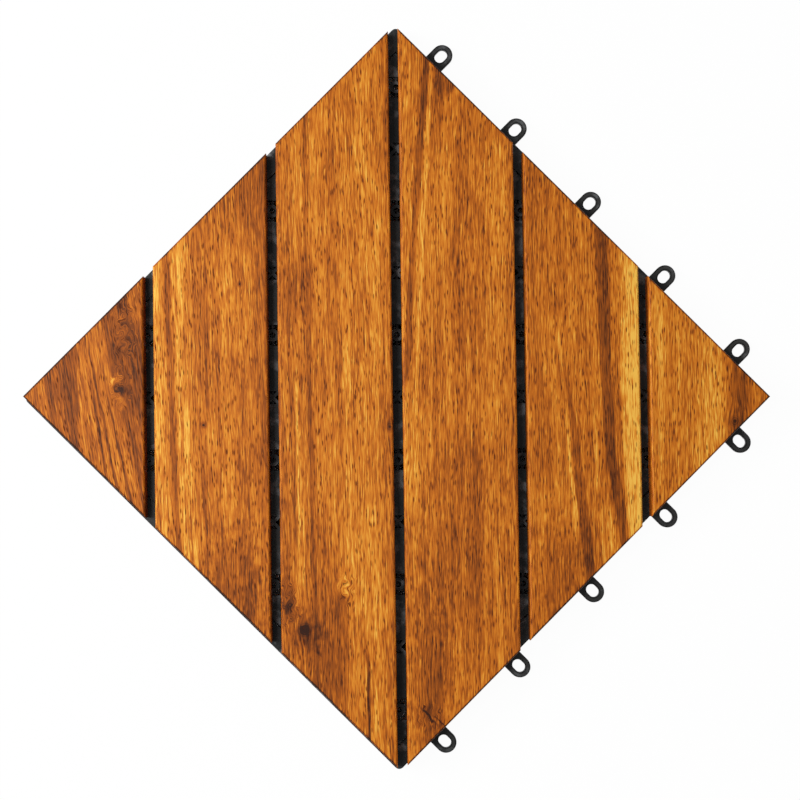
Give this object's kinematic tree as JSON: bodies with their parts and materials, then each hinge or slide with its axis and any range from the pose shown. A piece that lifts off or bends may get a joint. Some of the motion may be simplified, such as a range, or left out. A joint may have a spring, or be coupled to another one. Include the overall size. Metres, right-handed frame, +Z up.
{
  "type": "interlocking deck tile",
  "caption": "Square deck tile with wooden slats laid on the diagonal, screwed from below to a black plastic grid with snap loops on two edges and pegs on the others.",
  "frame": {"origin": "middle of the tile's underside, on the ground, on the lattice's laying pitch", "axes": "+Z up through the deck, X and Y along the tile's edges, loops on the +X and +Y edges"},
  "size_m": [0.3133, 0.3133, 0.024],
  "materials": {
    "grid_plastic": "black moulded polypropylene, fine matt texture",
    "slat_wood": "oiled acacia, golden to reddish brown with dark streaks and knots",
    "screw_steel": "bright zinc"
  },
  "bodies": {
    "root": {"base_grid": "grid_plastic", "slat_1": "slat_wood", "slat_2": "slat_wood", "slat_3": "slat_wood", "slat_4": "slat_wood", "slat_5": "slat_wood", "slat_6": "slat_wood", "deck_screws": "screw_steel"}
  },
  "joints": []
}
